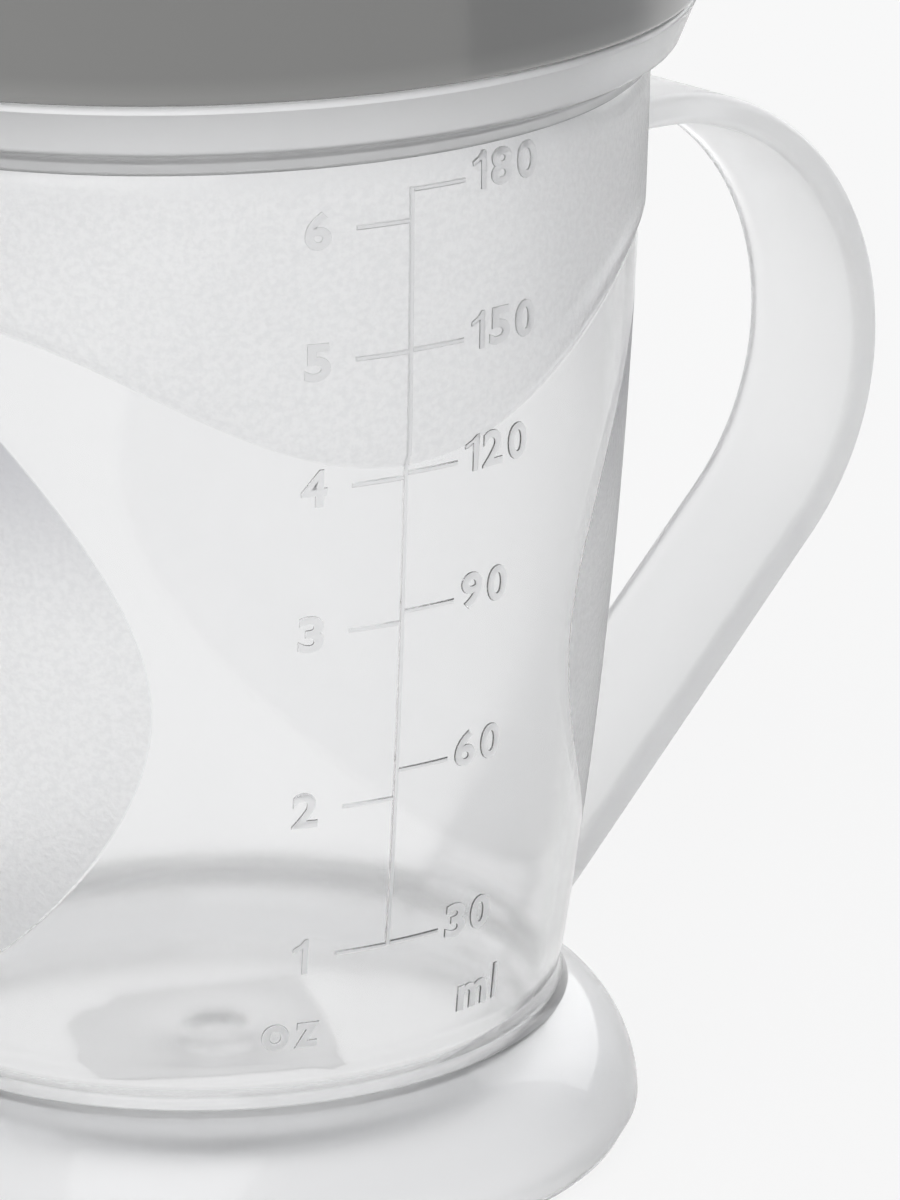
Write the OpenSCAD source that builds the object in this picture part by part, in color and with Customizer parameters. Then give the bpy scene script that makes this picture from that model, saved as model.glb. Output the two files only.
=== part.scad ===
// Two-handled training cup: translucent moulded cup, push-on lid and fold-down drinking spout.
// Millimetres. +Z up, the table at z = 0, the scale on the cup's front at -Y, the handles at +X and -X.

/* [Cup] */
// Height of the rim flange's top above the table
cup_h = 86.6; // [72:0.1:104]
// Outer radius of the wall where it meets the foot
wall_foot_r = 25.5; // [21.3:0.1:30.6]
// Outer radius of the wall below the rim flange
wall_mouth_r = 32.5; // [28:0.1:39]
// Outward slope of the wall at the foot, mm per mm of height
wall_foot_slope = 0.18; // [0.12:0.01:0.22]
// Outward slope of the wall at the mouth, mm per mm of height
wall_mouth_slope = 0.035; // [0.02:0.005:0.06]
// Thickness of the wall
wall_t = 1.2; // [1:0.05:1.5]
// Height of the inner floor above the table
floor_z = 7.2; // [6:0.1:8.7]
// Thickness of the floor
floor_t = 1.4; // [1.1:0.1:1.7]
// Radius of the inner corner between floor and wall
floor_fillet = 2.5; // [1.5:0.1:3.5]

/* [Rim] */
// How far the rim flange stands out beyond the wall
flange_out = 3.9; // [3.2:0.1:4.7]
// Depth of the rim flange
flange_h = 3.8; // [3.2:0.1:4.6]
// How far the flange draws in from its top edge to its lower edge
flange_draw = 1.2; // [0.5:0.1:1.5]
// Height of the neck that stands up inside the lid
neck_h = 7; // [5.8:0.1:8.4]
// Thickness of the neck
neck_t = 1.5; // [1.2:0.1:1.8]

/* [Frosted relief] */
// How far the frosted band round the mouth stands proud of the wall
band_t = 0.45; // [0.3:0.05:0.6]
// Depth of the band below the flange's top at its lowest point, front and back
band_drop_front = 27.4; // [23:0.1:33]
// Depth of the band below the flange's top over the handles
band_drop_side = 16.4; // [13.6:0.1:19.7]
// Angle from the front at which the band's edge has risen to its side height
band_rise_angle = 60; // [50:1:72]
// How far the round pads behind the handles stand proud of the wall
pad_t = 0.25; // [0.2:0.05:0.35]
// Radius of the round pads behind the handles, seen from the side
pad_r = 28; // [23.4:0.1:30]
// Height of the pads' centre above the table
pad_z = 44.9; // [42:0.1:47]

/* [Foot] */
// Largest radius of the foot skirt
foot_r = 31.5; // [29:0.1:37]
// Radius of the round of the skirt
foot_round = 10; // [8.4:0.1:12]
// Height of the skirt's widest line above the table
foot_wide_z = 1.8; // [1.5:0.1:2.1]
// Thickness of the skirt
foot_t = 1.5; // [1.2:0.1:1.8]

/* [Handles] */
// Distance from the cup's axis to the outside of a handle
handle_reach = 60.8; // [50.7:0.1:66]
// Angle by which each handle is swept back from the cup's side
handle_sweep = 10; // [6:0.5:14]
// Depth of a handle's top below the flange's top
handle_drop = 13.6; // [11.4:0.1:16]
// Outer radius of a handle's bend above its widest point
handle_bend = 21.8; // [18.2:0.1:23]
// Outer radius of a handle's bend below its widest point
handle_low_bend = 21.4; // [17.9:0.1:25]
// Height at which a handle's slanted leg reaches the wall
handle_low_z = 7.8; // [6.6:0.1:9.3]
// Width of the handle strap
handle_w = 12.8; // [10.7:0.1:15.3]
// Thickness of the handle strap
handle_t = 2.4; // [2.1:0.1:2.9]
// Radius along the strap's edges
handle_edge = 0.8; // [0.7:0.05:0.95]

/* [Lid] */
// How far the lid's lower edge stands out beyond the flange
lid_out = 0.4; // [0.3:0.05:0.5]
// Thickness of the lid
lid_t = 1.6; // [1.4:0.1:1.9]
// Radius round the lid's lower edge
lid_edge = 0.5; // [0.3:0.05:0.6]
// Height of the lid's upright side
lid_side_h = 9.2; // [7.7:0.1:11]
// Radius of the lid's shoulder
lid_shoulder = 7; // [5.8:0.1:8.4]
// Tilt of the lid's surface where the shoulder runs into the dome
dome_tilt = 18; // [15:0.5:21]
// Thickness of the ring that plugs into the neck
plug_t = 1.4; // [1.2:0.1:1.7]
// Thickness of the sealing ring on the rim
gasket_t = 1.8; // [1.5:0.1:2.1]
// Width of the sealing ring
gasket_w = 2.6; // [2.2:0.1:3.1]

/* [Spout] */
// Distance of the spout's pivot in front of the cup's axis
pivot_y = 17; // [14.2:0.1:17.5]
// Height of the pivot above the lid's lower edge
pivot_h = 14.4; // [13.8:0.1:17]
// Radius of the spout's barrel
barrel_r = 7.5; // [6.8:0.1:7.9]
// Length of the spout's barrel
barrel_l = 25; // [22.5:0.1:26]
// Radius of the trunnions that the spout turns on
trunnion_r = 2.2; // [1.9:0.05:2.6]
// Length of a trunnion
trunnion_l = 2.2; // [1.9:0.05:2.6]
// Height of the spout's tip above its pivot
spout_h = 27.5; // [23:0.1:30]
// How far the spout's root is set in from each end of its barrel
root_step = 1.75; // [1.4:0.05:2.1]
// Width of the spout at its waist
spout_waist_w = 18; // [16:0.1:21]
// Width of the spout at its lip
spout_lip_w = 18.6; // [16:0.1:21]
// Thickness of the spout at its root
spout_root_t = 8.4; // [7.6:0.1:9]
// Thickness of the spout at its lip
spout_lip_t = 7; // [6.6:0.1:8]
// Width of the passage through the spout
passage_w = 11; // [9.2:0.1:12]
// Thickness of the passage through the spout
passage_t = 4.6; // [4.4:0.05:4.8]
// Radius of the drinking holes in the lip
drink_hole_r = 1; // [0.8:0.05:1.2]
// Distance between the drinking holes
drink_hole_step = 4; // [3.3:0.1:4.4]
// Length of the trough behind the spout's folded tip, for a fingertip
finger_room = 8.5; // [7:0.1:10]
// Radius of the air hole in the trough
vent_r = 0.8; // [0.6:0.05:1]
// Wall round the seal's slot
seal_wall = 2.2; // [1.9:0.1:2.6]
// Thickness of the seal under the barrel
seal_t = 1.6; // [1.4:0.1:1.9]

/* [Clearances] */
// Gap between lid and cup, all round and at the rim
lid_gap = 0.2; // [0.15:0.05:0.25]
// Gap between the lid's plug and the neck
plug_gap = 0.3; // [0.25:0.05:0.35]
// Gap between the barrel and its cradle
cradle_gap = 0.35; // [0.3:0.05:0.4]
// Gap between the barrel and its seal
seal_gap = 0.1; // [0.08:0.01:0.12]
// Radial running clearance of a trunnion
trunnion_gap = 0.05; // [0.04:0.01:0.06]
// Gap under the folded spout
trough_gap = 0.8; // [0.7:0.1:1]

/* [Hidden] */

$fn = 96;
far = 200;
sink = 0.6;
strap_lap = 0.4;
strap_step = 0.01;
wall_steps = 14;
arc_steps = 10;
wave_steps = 30;

// Cup heights and radii worked out from the sizes above
wall_top_z = cup_h - flange_h - 1.8;
wall_low_z = foot_wide_z + sqrt(pow(foot_round, 2) - pow(wall_foot_r - (foot_r - foot_round), 2));
flange_r = wall_mouth_r + flange_out;
bore_r = wall_mouth_r - wall_t;
neck_r = bore_r + neck_t;
neck_top_z = cup_h + neck_h;
floor_under_z = floor_z - floor_t;
handle_top_z = cup_h - handle_drop;
band_front_z = cup_h - band_drop_front;
band_side_z = cup_h - band_drop_side;

// Lid heights and radii
lid_r = flange_r + lid_out;
lid_z = cup_h + lid_gap;
shoulder_z = lid_z + lid_side_h;
shoulder_r = lid_r - lid_shoulder;
dome_r = (shoulder_r + lid_shoulder * sin(dome_tilt)) / sin(dome_tilt);
dome_centre_z = shoulder_z + (lid_shoulder - dome_r) * cos(dome_tilt);
plug_r = bore_r - plug_gap;
gasket_z = neck_top_z + lid_gap;
ceiling_z = gasket_z + gasket_t;

// Spout, trough and cradle
pivot_z = lid_z + pivot_h;
cradle_r = barrel_r + cradle_gap;
side_x = barrel_l / 2 + cradle_gap;
trough_z = pivot_z - spout_root_t / 2 - trough_gap;
trough_front = -pivot_y - cradle_r - cradle_gap;
trough_back = spout_h - pivot_y + finger_room;
trough_corner = 4;
slot_w = passage_w + 1;
slot_t = passage_t + 0.6;
seal_w = slot_w + 2 * seal_wall;
seal_l = slot_t + 2 * seal_wall;
seal_z = pivot_z - cradle_r - seal_t;
waist_h = spout_h * 0.55;

// Outer radius of the wall at height z, a curve with a set slope at each end
function wall_r(z) =
    let (h = wall_top_z - wall_low_z, t = (z - wall_low_z) / h)
    t < 0 ? wall_foot_r + wall_foot_slope * (z - wall_low_z) :
    (2 * t * t * t - 3 * t * t + 1) * wall_foot_r + (t * t * t - 2 * t * t + t) * h * wall_foot_slope
    + (3 * t * t - 2 * t * t * t) * wall_mouth_r + (t * t * t - t * t) * h * wall_mouth_slope;

// Points of an arc from angle a0 to a1 about a centre
function arc(x, z, r, a0, a1) =
    [for (i = [0 : arc_steps]) let (a = a0 + (a1 - a0) * i / arc_steps) [x + r * cos(a), z + r * sin(a)]];

// Points up the wall from z0 to z1, set out by d
function wall_line(z0, z1, d) =
    [for (i = [0 : wall_steps]) let (z = z0 + (z1 - z0) * i / wall_steps) [wall_r(z) + d, z]];

// Lower edge of the frosted band where its distance from the middle plane is x
function band_edge(x) =
    let (turn = asin(min(1, abs(x) / wall_mouth_r)), rise = min(1, turn / band_rise_angle))
    band_front_z + (band_side_z - band_front_z) * (1 - cos(180 * rise)) / 2;

// Lid's outer surface set in by d, from the lower edge to the apex
function lid_line(d) = concat(
    [[lid_r - d, shoulder_z]],
    arc(shoulder_r, shoulder_z, lid_shoulder - d, 0, 90 - dome_tilt),
    arc(0, dome_centre_z, dome_r - d, 90 - dome_tilt, 90));

module rounded_rect(w, l, r) {
    square([w - 2 * r, l], center = true);
    square([w, l - 2 * r], center = true);
    for (x = [-1, 1], y = [-1, 1])
        translate([x * (w / 2 - r), y * (l / 2 - r)]) circle(r);
}

module stadium(w, t) {
    square([w - t, t], center = true);
    for (x = [-1, 1])
        translate([x * (w - t) / 2, 0]) circle(t / 2);
}

// Filled outer form of the bowl up to the flange
module bowl_form() {
    low_r = wall_r(floor_under_z);
    rotate_extrude()
        polygon(concat(
            [[0, floor_under_z]],
            arc(low_r - floor_t, floor_under_z + floor_t, floor_t, -90, 0),
            wall_line(floor_under_z + 2 * floor_t, wall_top_z, 0),
            [[0, wall_top_z]]));
    frosted_band();
    handle_pads();
}

// Band round the mouth that stands proud, with a wave along its lower edge
module frosted_band() {
    span = 2 * wall_mouth_r;
    intersection() {
        rotate_extrude()
            polygon(concat(
                [[0, band_front_z - 1]],
                wall_line(band_front_z - 1, wall_top_z, band_t),
                [[0, wall_top_z]]));
        rotate([90, 0, 0])
            linear_extrude(height = far, center = true)
                polygon(concat(
                    [for (i = [0 : wave_steps]) let (x = span * (i / wave_steps - 0.5)) [x, band_edge(x)]],
                    [[far, band_side_z], [far, cup_h], [-far, cup_h], [-far, band_side_z]]));
    }
}

// Round pads behind the handles
module handle_pads() {
    intersection() {
        rotate_extrude()
            polygon(concat(
                [[0, pad_z - pad_r - 1]],
                wall_line(pad_z - pad_r - 1, pad_z + pad_r + 1, pad_t),
                [[0, pad_z + pad_r + 1]]));
        for (turn = [handle_sweep, 180 - handle_sweep])
            translate([0, 0, pad_z]) rotate([0, 90, turn]) cylinder(r = pad_r, h = far);
    }
}

module bowl() {
    low_flange_r = flange_r - flange_draw;
    inner_z = floor_z + floor_fillet;
    inner_r = wall_r(inner_z) - wall_t;
    color([0.93, 0.93, 0.93, 0.5]) difference() {
        union() {
            bowl_form();
            rotate_extrude()
                polygon(concat(
                    [[0, wall_top_z - 1], [wall_mouth_r, wall_top_z - 1], [wall_mouth_r + band_t, wall_top_z],
                     [wall_mouth_r + 1.1, cup_h - flange_h - 0.5]],
                    arc(low_flange_r - 0.8, cup_h - flange_h + 0.8, 0.8, -70, -15),
                    [[flange_r, cup_h - 0.5], [flange_r - 0.4, cup_h], [neck_r, cup_h], [neck_r, neck_top_z],
                     [0, neck_top_z]]));
        }
        rotate_extrude()
            polygon(concat(
                [[0, floor_z]],
                arc(inner_r - floor_fillet, inner_z, floor_fillet, -90, 0),
                wall_line(inner_z + 0.5, wall_top_z, -wall_t),
                [[bore_r, neck_top_z + 1], [0, neck_top_z + 1]]));
    }
}

// Filled outer form of the foot skirt
module foot_form() {
    centre_r = foot_r - foot_round;
    top = acos((wall_foot_r - sink - centre_r) / foot_round);
    rotate_extrude()
        polygon(concat(
            [[0, 0]],
            arc(foot_r - 0.5 - foot_t / 2, 0.5, 0.5, -90, 0),
            arc(centre_r, foot_wide_z, foot_round, 0, top),
            [[0, foot_wide_z + foot_round * sin(top)]]));
}

module foot() {
    centre_r = foot_r - foot_round;
    color([0.86, 0.86, 0.86, 0.5]) difference() {
        foot_form();
        rotate_extrude()
            polygon(concat(
                [[0, -1], [foot_r - 2 * foot_t, -1], [foot_r - foot_t - 0.2, foot_wide_z]],
                arc(centre_r, foot_wide_z, foot_round - foot_t, 0, 70),
                [[0, foot_wide_z + (foot_round - foot_t) * sin(70)]]));
        bowl_form();
    }
}

// Strap handle on the +X side, swept back: two bends that meet at the widest point, then a straight leg to the foot
module handle() {
    bend_z = handle_top_z - handle_bend;
    top_x = handle_reach - handle_bend;
    low_x = handle_reach - handle_low_bend;
    low_r = wall_r(handle_low_z);
    run = norm([low_x - low_r, bend_z - handle_low_z]);
    leg_l = sqrt(run * run - handle_low_bend * handle_low_bend);
    leg_turn = 90 + asin(handle_low_bend / run) - atan2(bend_z - handle_low_z, low_x - low_r);
    color([0.88, 0.88, 0.88, 0.5]) difference() {
        translate([0, 0, bend_z]) rotate([90, 0, handle_sweep]) {
            translate([top_x, 0, 0]) {
                strap_bend(handle_bend, 90);
                strap_end(handle_bend, 90, top_x - wall_mouth_r / 2);
            }
            translate([low_x, 0, 0]) mirror([0, 1, 0]) {
                strap_bend(handle_low_bend, leg_turn);
                strap_end(handle_low_bend, leg_turn, leg_l + handle_w / 3);
            }
        }
        bowl_form();
        foot_form();
    }
}

// Bend of the strap from its widest point round by an angle, with outer radius r
module strap_bend(r, angle) {
    rotate_extrude(angle = angle)
        translate([r - handle_t / 2, 0]) rounded_rect(handle_t, handle_w, handle_edge);
}

// Straight run on from the end of a bend, a hair thicker than the bend so that the two join cleanly
module strap_end(r, angle, l) {
    rotate([0, 0, angle]) translate([r - handle_t / 2, 0, 0]) rotate([-90, 0, 0]) translate([0, 0, -strap_lap])
        linear_extrude(height = l + strap_lap)
            rounded_rect(handle_t + 2 * strap_step, handle_w + 2 * strap_step, handle_edge + strap_step);
}

module handle_right() {
    handle();
}

module handle_left() {
    mirror([1, 0, 0]) handle();
}

module lid_form(d, low) {
    rotate_extrude()
        polygon(concat([[0, low]], arc(lid_r - d - lid_edge, low + lid_edge, lid_edge, -90, 0), lid_line(d)));
}

// Plan of the trough that takes the folded spout, set out by d
module trough_plan(d) {
    translate([0, (trough_front + trough_back) / 2])
        rounded_rect(2 * (side_x + d), trough_back - trough_front + 2 * d, trough_corner + d);
}

module on_pivot() {
    translate([0, -pivot_y, pivot_z]) children();
}

module along_x(r, l) {
    rotate([0, 90, 0]) cylinder(r = r, h = l, center = true);
}

module lid_cap() {
    trunnion_x = barrel_l / 2 + trunnion_l;
    color([0.5, 0.5, 0.49]) difference() {
        union() {
            // Side, shoulder and dome
            difference() {
                lid_form(0, lid_z);
                lid_form(lid_t, lid_z - 1);
            }
            // Plug ring and the ledge that the sealing ring sits against
            rotate_extrude() {
                translate([plug_r - plug_t, cup_h + 2]) square([plug_t, ceiling_z - cup_h - 2 + sink]);
                translate([plug_r - plug_t, ceiling_z]) square([lid_r - lid_t + sink - plug_r + plug_t, lid_t]);
            }
            intersection() {
                lid_form(0, 0);
                union() {
                    // Tray under the trough, the cradle's outside and the bosses behind the trunnions
                    translate([0, 0, trough_z - lid_t])
                        linear_extrude(height = far) trough_plan(lid_t);
                    on_pivot() along_x(cradle_r + lid_t, 2 * (side_x + lid_t));
                    on_pivot() along_x(trunnion_r + 2, 2 * (trunnion_x + lid_t));
                    translate([-seal_w / 2 - lid_t, -pivot_y - seal_l / 2 - lid_t, seal_z - lid_t])
                        cube([seal_w + 2 * lid_t, seal_l + 2 * lid_t, trough_z - seal_z]);
                }
            }
        }
        // Trough and cradle
        translate([0, 0, trough_z]) linear_extrude(height = far) trough_plan(0);
        on_pivot() along_x(cradle_r, 2 * side_x);
        on_pivot() along_x(trunnion_r + trunnion_gap, 2 * (trunnion_x + cradle_gap));
        // Seat of the seal, flow port and air hole
        translate([-seal_w / 2, -pivot_y - seal_l / 2, seal_z]) cube([seal_w, seal_l, pivot_z - seal_z]);
        translate([0, -pivot_y, seal_z - far / 2]) linear_extrude(height = far) stadium(slot_w, slot_t);
        translate([0, trough_back - finger_room / 2, 0]) cylinder(r = vent_r, h = far);
    }
}

module lid_gasket() {
    color([0.92, 0.92, 0.9]) rotate_extrude()
        translate([plug_r + seal_gap, gasket_z]) square([gasket_w, gasket_t]);
}

module spout_seal() {
    color([0.92, 0.92, 0.9]) difference() {
        translate([-seal_w / 2 + seal_gap, -pivot_y - seal_l / 2 + seal_gap, seal_z])
            cube([seal_w - 2 * seal_gap, seal_l - 2 * seal_gap, barrel_r]);
        on_pivot() along_x(barrel_r + seal_gap, far);
        translate([0, -pivot_y, 0]) linear_extrude(height = far) stadium(slot_w, slot_t);
        translate([0, 0, trough_z + far / 2]) cube(far, center = true);
    }
}

// Section of the spout, as a thin slice at height h above the pivot
module spout_slice(h, w, t) {
    translate([0, 0, h]) linear_extrude(height = 0.2, $fn = 32) stadium(w, t);
}

module flip_spout() {
    lip_ball = spout_lip_t / 2;
    waist_t = (spout_root_t + spout_lip_t) / 2;
    color([0.52, 0.52, 0.51]) on_pivot() difference() {
        union() {
            along_x(barrel_r, barrel_l);
            along_x(trunnion_r, barrel_l + 2 * trunnion_l);
            hull() {
                spout_slice(0, barrel_l - 2 * root_step, spout_root_t);
                spout_slice(waist_h, spout_waist_w, waist_t);
            }
            hull() {
                spout_slice(waist_h, spout_waist_w, waist_t);
                for (x = [-1, 1])
                    translate([x * (spout_lip_w / 2 - lip_ball), 0, spout_h - lip_ball])
                        sphere(lip_ball, $fn = 32);
            }
        }
        translate([0, 0, -far / 2]) linear_extrude(height = far / 2 + spout_h - lip_ball)
            stadium(passage_w, passage_t);
        for (x = [-1, 0, 1])
            translate([x * drink_hole_step, 0, 0]) cylinder(r = drink_hole_r, h = far);
    }
}

bowl();
foot();
handle_right();
handle_left();
lid_cap();
lid_gasket();
flip_spout();
spout_seal();
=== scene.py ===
# %% [markdown]
# # A training cup in translucent plastic
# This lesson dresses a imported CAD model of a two-handled training cup. The CAD model gives every size and
# every joint. Here each visible piece gets the rounded edges, the moulded marks and the finish of the real
# cup. Shapes are drawn in millimetres, like the CAD source, and scaled to metres when a piece is finished.

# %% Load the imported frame
import math

import bmesh
import bpy
from mathutils import Matrix, Vector


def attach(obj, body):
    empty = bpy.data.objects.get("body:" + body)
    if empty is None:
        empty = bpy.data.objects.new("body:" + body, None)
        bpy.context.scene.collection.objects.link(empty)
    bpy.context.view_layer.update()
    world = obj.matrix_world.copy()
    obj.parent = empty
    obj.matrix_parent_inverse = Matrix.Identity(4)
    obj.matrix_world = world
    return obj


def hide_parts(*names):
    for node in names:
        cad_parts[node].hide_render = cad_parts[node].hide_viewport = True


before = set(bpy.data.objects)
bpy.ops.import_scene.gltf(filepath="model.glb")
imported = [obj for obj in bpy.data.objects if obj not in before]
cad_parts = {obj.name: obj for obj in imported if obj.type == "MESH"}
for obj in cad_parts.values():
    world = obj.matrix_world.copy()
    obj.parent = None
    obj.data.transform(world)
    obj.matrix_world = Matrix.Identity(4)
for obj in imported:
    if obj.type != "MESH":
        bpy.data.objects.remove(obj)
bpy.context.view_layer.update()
MM = 0.001

# %% [markdown]
# ## The wall's curve
# The cup is a body of revolution, so one curve decides most of how it looks: the outer wall, which leaves the
# foot at a slant and is almost upright at the mouth. A curve with a set slope at both ends gives that sweep
# from four numbers. The same function later tells the handles, the numerals and the finish where the wall is.

# %% Wall, foot and rim sizes
WALL_LOW_Z, WALL_TOP_Z = 10.97, 81.0
WALL_LOW_R, WALL_TOP_R = 25.5, 32.5
WALL_LOW_SLOPE, WALL_TOP_SLOPE = 0.18, 0.035
WALL_T = 1.2
FLOOR_Z, FLOOR_UNDER_Z = 7.2, 5.8
FLOOR_EDGE_R, CORNER_R, CORNER_Z = 1.4, 2.5, 9.7
SKIRT_X, SKIRT_Z, SKIRT_R, SKIRT_T, SKIRT_TURN = 21.5, 1.8, 10, 1.5, 62
PLAIN_Z = 14  # from here up the wall is clear of the foot
RIM_Z, RIM_EDGE_R, NECK_TOP_Z, NECK_EDGE_R = 86.6, 0.4, 93.6, 0.5


def wall_curve(t):
    """Outer radius, t from 0 at the foot to 1 at the flange; works on numbers and on shader sockets."""
    tall = WALL_TOP_Z - WALL_LOW_Z
    low, high = WALL_LOW_SLOPE * tall, WALL_TOP_SLOPE * tall
    rise = WALL_TOP_R - WALL_LOW_R
    return WALL_LOW_R + t * (low + t * (3 * rise - 2 * low - high + t * (low + high - 2 * rise)))


def wall_r(z):
    """Outer radius of the wall at height z."""
    if z < WALL_LOW_Z:
        return WALL_LOW_R + WALL_LOW_SLOPE * (z - WALL_LOW_Z)
    return wall_curve(min(1, (z - WALL_LOW_Z) / (WALL_TOP_Z - WALL_LOW_Z)))


def arc(x, z, r, start, end, steps):
    """Points of an arc about (x, z), angles in degrees."""
    angles = [math.radians(start + (end - start) * i / steps) for i in range(steps + 1)]
    return [(x + r * math.cos(a), z + r * math.sin(a)) for a in angles]


def spread(low, high, steps):
    """Evenly spaced numbers from low to high, both included."""
    return [low + (high - low) * i / steps for i in range(steps + 1)]


print("wall radius at 30, 50 and 70 mm:", [round(wall_r(z), 2) for z in (30, 50, 70)])

# %% [markdown]
# ## Frosted relief
# A band round the mouth stands a little proud and carries a fine grain. Its lower edge is a soft wave. A
# Boolean with a wavy ring would leave a hard edge, so the wave is worked out here once as a height on the
# wall: the mesh needs it for the soft step and the finish needs it for the frosting.

# %% Outline of the band
BAND_T, BAND_FRONT_Z, BAND_SIDE_Z, BAND_RISE = 0.45, 59.2, 70.2, math.radians(60)
BAND_MID_Z = (BAND_FRONT_Z + BAND_SIDE_Z) / 2
STEP_LOW, STEP_TALL = 0.5, 1.3  # the step starts this far below the edge and is this tall


def soft_step(x):
    """0 below 0, 1 above 1, and a smooth rise between."""
    x = max(0, min(1, x))
    return x * x * (3 - 2 * x)


def band_edge(x, y):
    """Height of the band's lower edge on the side of the cup where (x, y) is."""
    rise = min(1, math.atan2(abs(x), abs(y)) / BAND_RISE)
    return BAND_FRONT_Z + (BAND_SIDE_Z - BAND_FRONT_Z) * (1 - math.cos(math.pi * rise)) / 2


def relief(x, y, z):
    """How far the outer wall stands proud at a point."""
    return BAND_T * soft_step((z - band_edge(x, y) + STEP_LOW) / STEP_TALL) if z < WALL_TOP_Z else 0


print("band edge at the front and over a handle:", band_edge(0, -1), band_edge(1, 0))

# %% [markdown]
# ## Cup: bowl, floor, foot and rim in one section
# The bowl and its flared foot are one moulding, so they are one closed outline turned round the axis. Two
# nested shells with a Solidify modifier would also give a wall, but not a wall that thickens into the floor,
# runs out into a hollow foot and ends in a rim with a flange and a neck. Spin does all of that in one go.

# %% Outline of the section
HOLLOW_TOP_Z, INSIDE_LOW_Z, NECK_LOW_Z = 8.6, 11, 88
STAND_RING = [(29.75, 1.2), (29.2, 0.3), (29.45, 0), (30.25, 0), (30.55, 0.12), (30.75, 0.5)]
FILLET_X, FILLET_Z, FILLET_R, FILLET_TURN = 28.43, 12.65, 2.8, 222
CLOSE_LOW, CLOSE_TOP = 0.9, 1.1  # close rows of points reach this far below and above the band's edge
WIDE_LOW, WIDE_TOP = 1.3, 1.9  # and wider rows start here
FLANGE_UNDER, FLANGE_SIDE = [(32.98, 81.35), (33.15, 81.9), (33.6, 82.3)], [(36.25, 85.9)]
FLANGE_BEND_X, FLANGE_BEND_Z, FLANGE_BEND_R = 34.4, 83.6, 0.8
FLANGE_R, NECK_R, NECK_IN_R = 36.4, 32.8, 31.3
GATE_R, FLOOR_ROWS = 1.2, (8, 16)
GATE_MARK = [(3.4, FLOOR_Z), (2.9, 7.32), (2.5, 7.25), (2.1, 6.95), (GATE_R, 6.85), (0, 6.85)]


def on_wall(low, high, steps):
    """Evenly spaced points of the outer wall."""
    return [(wall_r(z), z) for z in spread(low, high, steps)]


def section():
    """Half section of the moulding: underside, foot, outside, rim and inside, from axis to axis."""
    under = [(r, FLOOR_UNDER_Z) for r in (0, GATE_R, *FLOOR_ROWS)]
    under += arc(wall_r(FLOOR_UNDER_Z) - FLOOR_EDGE_R, FLOOR_UNDER_Z + FLOOR_EDGE_R, FLOOR_EDGE_R, -90, 0, 5)
    under += [(wall_r(HOLLOW_TOP_Z), HOLLOW_TOP_Z)]
    foot = arc(SKIRT_X, SKIRT_Z, SKIRT_R - SKIRT_T, SKIRT_TURN, 0, 12) + STAND_RING
    foot += arc(SKIRT_X, SKIRT_Z, SKIRT_R, 0, SKIRT_TURN, 20)
    foot += arc(FILLET_X, FILLET_Z, FILLET_R, FILLET_TURN, 180, 4)
    wall = on_wall(PLAIN_Z, BAND_MID_Z - WIDE_LOW, 62)
    wall += on_wall(BAND_MID_Z - CLOSE_LOW, BAND_MID_Z + CLOSE_TOP, 10)
    wall += on_wall(BAND_MID_Z + WIDE_TOP, WALL_TOP_Z, 16)
    flange = FLANGE_UNDER + arc(FLANGE_BEND_X, FLANGE_BEND_Z, FLANGE_BEND_R, -75, -15, 4) + FLANGE_SIDE
    flange += arc(FLANGE_R - RIM_EDGE_R, RIM_Z - RIM_EDGE_R, RIM_EDGE_R, 0, 90, 3)
    flange += arc(NECK_R + RIM_EDGE_R, RIM_Z + RIM_EDGE_R, RIM_EDGE_R, 270, 180, 3)
    neck = arc(NECK_R - NECK_EDGE_R, NECK_TOP_Z - NECK_EDGE_R, NECK_EDGE_R, 0, 90, 3)
    neck += arc(NECK_IN_R + NECK_EDGE_R, NECK_TOP_Z - NECK_EDGE_R, NECK_EDGE_R, 90, 180, 3)
    inside = [(NECK_IN_R, NECK_LOW_Z)] + [(r - WALL_T, z) for r, z in on_wall(WALL_TOP_Z, INSIDE_LOW_Z, 16)]
    inside += arc(wall_r(CORNER_Z) - WALL_T - CORNER_R, CORNER_Z, CORNER_R, 0, -90, 8)
    inside += [(r, FLOOR_Z) for r in reversed(FLOOR_ROWS)]
    return under + foot + wall + flange + neck + inside + GATE_MARK


print("the section has", len(section()), "points")

# %% Spin it and raise the relief
CUP_STEPS = 288
SLIDE_FROM_Z = 22  # rows of points below this stay where they are
NEAR_LOW, NEAR_TOP = 1.0, 1.2  # rows this near the band's edge slide all the way with it


def spun(outline, steps):
    """A bmesh of an outline of (radius, height) points, turned once round the Z axis."""
    bm = bmesh.new()
    verts = [bm.verts.new((r, 0, z)) for r, z in outline]
    edges = [bm.edges.new(pair) for pair in zip(verts, verts[1:])]
    bmesh.ops.spin(bm, geom=verts + edges, axis=(0, 0, 1), cent=(0, 0, 0), angle=math.tau, steps=steps,
                   use_merge=True)
    bmesh.ops.remove_doubles(bm, verts=bm.verts, dist=1e-4)
    bmesh.ops.recalc_face_normals(bm, faces=bm.faces)
    return bm


def raise_relief(bm):
    """Slides the wall's rows to follow the band's edge, then lifts the band."""
    near_low, near_top = BAND_MID_Z - NEAR_LOW, BAND_MID_Z + NEAR_TOP
    for v in bm.verts:
        x, y, z = v.co
        r = math.hypot(x, y)
        if not PLAIN_Z <= z <= WALL_TOP_Z or abs(r - wall_r(z)) > 1e-3:
            continue
        slide = (z - SLIDE_FROM_Z) / (near_low - SLIDE_FROM_Z)
        if z >= near_low:
            slide = (WALL_TOP_Z - z) / (WALL_TOP_Z - near_top)
        z += (band_edge(x, y) - BAND_MID_Z) * max(0, min(1, slide))
        out = (wall_r(z) + relief(x, y, z)) / r
        v.co = (x * out, y * out, z)


cup = spun(section(), CUP_STEPS)
raise_relief(cup)
print("spun cup:", len(cup.verts), "points,", len(cup.faces), "faces")

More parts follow.
